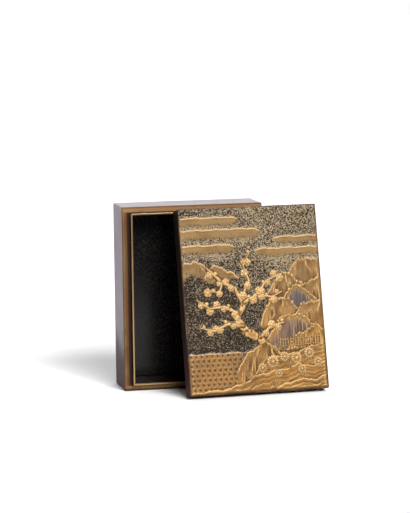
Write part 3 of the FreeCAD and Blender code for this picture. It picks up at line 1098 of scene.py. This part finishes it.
class INKBOX_OT_growth(bpy.types.Operator):
    """Sets the brushwood fence, the grass on the banks and the small trees on the hills"""

    bl_idname = "ink_box.growth"
    bl_label = "Set the fence, grass and trees"

    def execute(self, context):
        at = STATE["height"]
        rng = random.Random(context.scene.ink_box_motifs.seed + 1)
        gold = raised_gold("brush")
        self.fence(at, rng, gold)
        self.grass(at, rng, gold)
        self.trees(at, rng, gold)
        return {"FINISHED"}

    def fence(self, at, rng, gold):
        parts = []
        for n in range(STICKS):
            u = FIRST_STICK[0] + n * STICK_STEP[0]
            v = FIRST_STICK[1] + n * STICK_STEP[1]
            parts.append((u, v, at(u, FENCE_LEVEL) + 0.1, rng.uniform(-0.06, 0.06), 1.0))
        for n in range(RAIL_PARTS):
            for level in RAIL_LEVELS:
                u = RAIL_START + n * RAIL_STEP
                v = level + RAIL_SLOPE * (u - FENCE_LEFT)
                parts.append((u, v, at(u, level) + 0.45, math.pi / 2 + RAIL_SLOPE, 0.8))
        stick = ridge("stick", [(0, y) for y in (-4.8, -3.2, 0, 3.2, 4.8)], 1.25, 0.6)
        scatter("brushwood_fence", stick, parts, gold, 0.0, 0.06)

    def grass(self, at, rng, gold):
        blades = []
        for u, v, size in TUFTS:
            for k in range(-2, 3):
                lean = -0.34 * k + rng.uniform(-0.1, 0.1)
                blades.append((u + 0.35 * k, v - 0.1 * abs(k), at(u, v), lean, size))
        path = [(1.3 * t * t, 7.5 * t) for t in (n / 5 for n in range(6))]
        scatter("grass_blades", ridge("blade", path, 1.05, 0.45), blades, gold, 0.0, 0.15)

    def trees(self, at, rng, gold):
        """Small round trees in loose rows on those parts of the crests that no nearer hill hides."""
        places = []
        for n, hill in enumerate(HILLS):
            u = hill[0] - hill[2] * 0.8
            while u < min(hill[0] + hill[3] * 0.8, FACE_WIDTH - 4):
                v = float(crest(hill, u))
                hidden = any(float(crest(nearer, u)) > v - 1 for nearer in HILLS[n + 1:])
                if not hidden and rng.random() < 0.62:
                    places.append((u, v + rng.uniform(-0.9, 0.3), at(u, v - 0.6) - 0.1,
                                   rng.uniform(0, 6.28), rng.uniform(0.7, 1.25)))
                u += rng.uniform(0.9, 2.4)
        tree = rosette("tree", 5, 1.5, 0.7, 0.35, rings=2, steps=3)
        scatter("hill_trees", tree, places, gold, 0.3, 0.1)


class INKBOX_OT_waves(bpy.types.Operator):
    """Lays rows of small pointed waves on the stream, turned the other way in every other row"""

    bl_idname = "ink_box.waves"
    bl_label = "Lay the waves"

    def execute(self, context):
        s = context.scene.ink_box_motifs
        at = STATE["height"]
        places = []
        for row in range(round(STREAM_HEIGHT / s.wave_row)):
            v = STREAM_FOOT + (row + 0.5) * s.wave_row
            way = -1 if row % 2 else 1
            for n in range(1, round(STREAM_REACH / s.wave_pitch)):
                u = (n + 0.5 * (1 - row % 2)) * s.wave_pitch - way * 0.30 * s.wave_pitch
                if 4 < u < BANK_END + v * BANK_LEAN:
                    places.append((u, v, at(u, v) - 0.03, math.pi * (row % 2), s.wave_row / 4.5))
        path = [(-1.2 + 2.2 * (1 - abs(t) ** 1.4), 1.75 * t) for t in (n / 5 - 1 for n in range(11))]
        gold = raised_gold("wave")
        scatter("stream_waves", ridge("wave", path, 0.75, 0.24), places, gold)
        return {"FINISHED"}


# The stage's colours, and where the floor turns lilac
GREY_PAPER = (0.86, 0.86, 0.86)
WHITE_PAPER = (0.90, 0.90, 0.90)
LILAC_PAPER = (0.90, 0.81, 0.90)
ROSY_LIGHT = (1, 0.93, 0.97)
WHITE = (1, 1, 1)
FAR_FLOOR = (0.22, 0.42)

# The room's light by direction: where it starts and ends to change, and its strength there
LIGHT_BEHIND = (0.0, 0.5, 0.02, 1.0)
LIGHT_ABOVE = (0.55, 0.9, 0.0, 0.12)
LOW_GLOW = (0.1, 0.35, 1.95, 1.42)
ROSY_UP_TO = (0.2, 0.5)

# Key lights: degrees to the right of the front, rise, and share of the strength
KEY_LIGHTS = ((28, 0.72, 0.20), (21, 0.92, 0.28), (12, 0.62, 0.28), (2, 0.50, 0.24))


class INKBOX_OT_stage(bpy.types.Operator):
    """Sets up the camera, the floor, the key lights and the room's light"""

    bl_idname = "ink_box.stage"
    bl_label = "Set the stage"

    def execute(self, context):
        s = context.scene.ink_box_stage
        scene = context.scene
        scene.view_settings.view_transform = "Standard"
        self.camera(scene, s)
        self.floor(s)
        self.lights(s)
        self.room(scene, s)
        return {"FINISHED"}

    def camera(self, scene, s):
        data = bpy.data.cameras.new("camera")
        data.lens = s.lens
        data.clip_start = 0.05
        scene.camera = new_object("camera", data)
        aim = Matrix.Rotation(-s.yaw, 4, "Z") @ Matrix.Rotation(math.pi / 2 - s.pitch, 4, "X")
        turned = aim @ Matrix.Rotation(s.roll, 4, "Z")
        scene.camera.matrix_world = Matrix.Translation(s.place) @ turned

    def floor(self, s):
        mesh = bpy.data.meshes.new("floor")
        front, back, side = s.floor_front, 12.0, 8.0
        mesh.from_pydata([(-side, front, 0), (side, front, 0), (side, back, 0), (-side, back, 0)], [],
                         [(0, 1, 2, 3)])
        f = Finish("floor paper")
        grain = f.noise(300.0, 2.0)
        paper = f.mix(grain, GREY_PAPER, WHITE_PAPER)
        paper = f.mix(f.ease(f.along((0, 1, 0)), *FAR_FLOOR), paper, LILAC_PAPER)
        finish = f.shade({"Base Color": paper, "Roughness": 0.9, "Specular IOR Level": 0.1})
        new_object("floor", mesh, [finish])

    def lights(self, s):
        for degrees, rise, share in KEY_LIGHTS:
            key = bpy.data.lights.new("key", "SUN")
            key.energy = s.key * share
            key.angle = s.key_spread
            turn = math.radians(degrees)
            toward = Vector((math.sin(turn), -math.cos(turn), rise))
            new_object("key", key).rotation_euler = toward.to_track_quat("Z", "Y").to_euler()

    def room(self, scene, s):
        """Light from behind the box and a little from above, stronger and rosier low down."""
        scene.world = bpy.data.worlds.new("room")
        scene.world.use_nodes = True
        w = Nodes(scene.world.node_tree)
        toward = w.node("ShaderNodeTexCoord", out="Generated")
        up = w.along((0, 0, 1), toward)
        behind = w.ease(w.along((0, 1, 0), toward), *LIGHT_BEHIND)
        above = w.ease(up, *LIGHT_ABOVE)
        level = w.larger(behind, above) * s.fill * w.ease(up, *LOW_GLOW)
        tint = w.mix(w.ease(up, *ROSY_UP_TO), ROSY_LIGHT, WHITE)
        light = w.node("ShaderNodeBackground", None, {"Color": tint, "Strength": level})
        seen = w.node("ShaderNodeBackground", None, {"Color": WHITE})
        looked_at = w.node("ShaderNodeLightPath", out="Is Camera Ray")
        both = w.node("ShaderNodeMixShader", None, {0: looked_at, 1: light, 2: seen})
        w.node("ShaderNodeOutputWorld", None, {0: both})


OPERATORS = (INKBOX_OT_stage, INKBOX_OT_lacquer, INKBOX_OT_fittings, INKBOX_OT_lid_face,
             INKBOX_OT_blossoms, INKBOX_OT_chrysanthemums, INKBOX_OT_growth, INKBOX_OT_waves)
SETTINGS = (("ink_box_stage", StageSettings), ("ink_box_lacquer", LacquerSettings),
            ("ink_box_relief", ReliefSettings), ("ink_box_motifs", MotifSettings))


class INKBOX_PT_panel(bpy.types.Panel):
    """Lists the settings and the steps of the ink box"""

    bl_label = "Ink box"
    bl_space_type = "VIEW_3D"
    bl_region_type = "UI"
    bl_category = "Ink box"

    def draw(self, context):
        for name, group in SETTINGS:
            box = self.layout.box()
            for key in group.__annotations__:
                box.prop(getattr(context.scene, name), key)
        for operator in OPERATORS:
            self.layout.operator(operator.bl_idname)


def register():
    for name, group in SETTINGS:
        bpy.utils.register_class(group)
        setattr(bpy.types.Scene, name, bpy.props.PointerProperty(type=group))
    for operator in OPERATORS:
        bpy.utils.register_class(operator)
    bpy.utils.register_class(INKBOX_PT_panel)


def unregister():
    bpy.utils.unregister_class(INKBOX_PT_panel)
    for operator in reversed(OPERATORS):
        bpy.utils.unregister_class(operator)
    for name, group in reversed(SETTINGS):
        delattr(bpy.types.Scene, name)
        bpy.utils.unregister_class(group)


def main():
    register()
    for operator in OPERATORS:
        area, name = operator.bl_idname.split(".")
        getattr(getattr(bpy.ops, area), name)()


if __name__ == "__main__":
    main()
